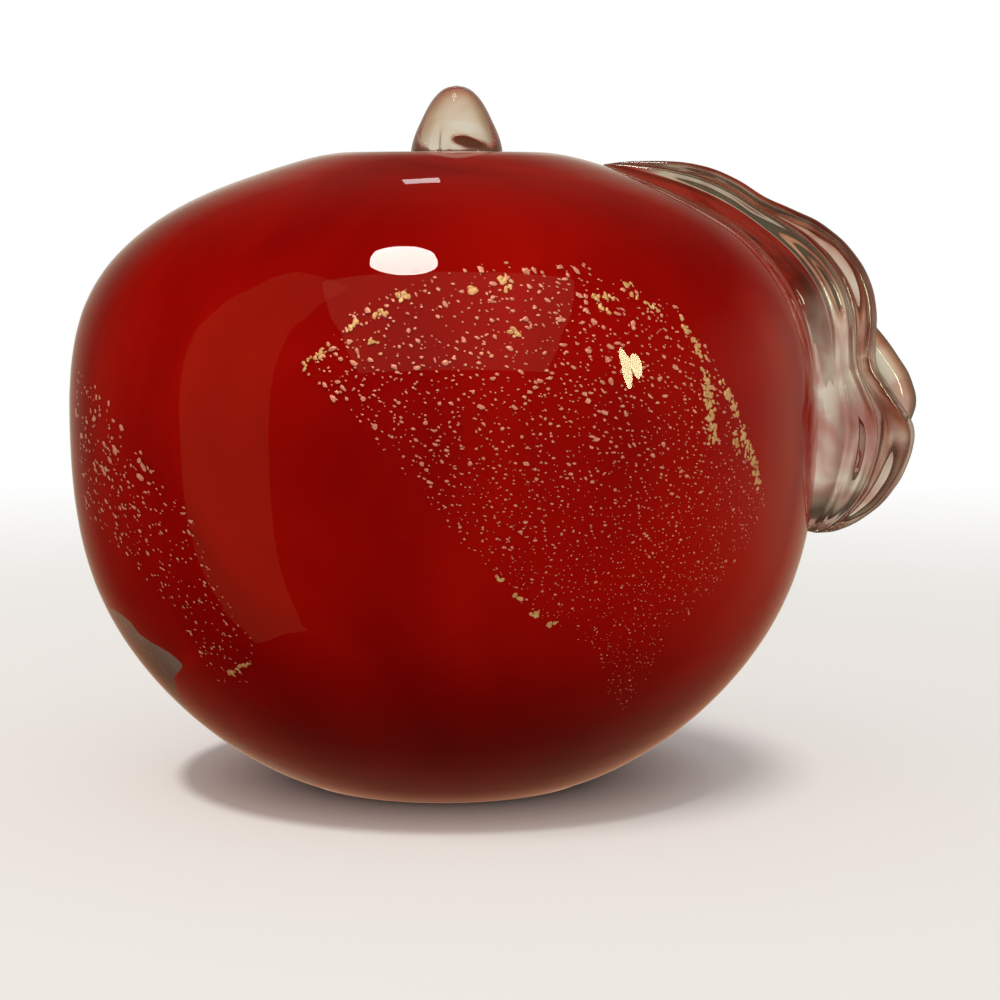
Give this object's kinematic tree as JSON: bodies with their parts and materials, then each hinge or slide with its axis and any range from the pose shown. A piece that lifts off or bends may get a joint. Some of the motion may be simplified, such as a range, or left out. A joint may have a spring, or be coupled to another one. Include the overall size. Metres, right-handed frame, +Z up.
{
  "type": "art glass apple",
  "caption": "Solid glass apple ornament or paperweight: a red core flecked with gold leaf under thick clear casing, with a clear stem nub and a ruffled clear leaf, standing on a flat base.",
  "frame": {"origin": "centre of the flat ground base, on the surface the apple stands on", "axes": "+Z up the apple's axis, -Y towards the viewer of the picture, leaf over the +X shoulder"},
  "size_m": [0.0933, 0.0806, 0.0748],
  "materials": {
    "clear_glass": "fire-polished clear glass",
    "red_glass": "dense ruby glass, looks opaque",
    "gold": "torn gold leaf broken into flecks"
  },
  "bodies": {
    "root": {"clear_casing": "clear_glass", "stem": "clear_glass", "leaf": "clear_glass", "red_core": "red_glass", "gold_leaf_front": "gold", "gold_leaf_left": "gold", "gold_leaf_back": "gold"}
  },
  "joints": []
}
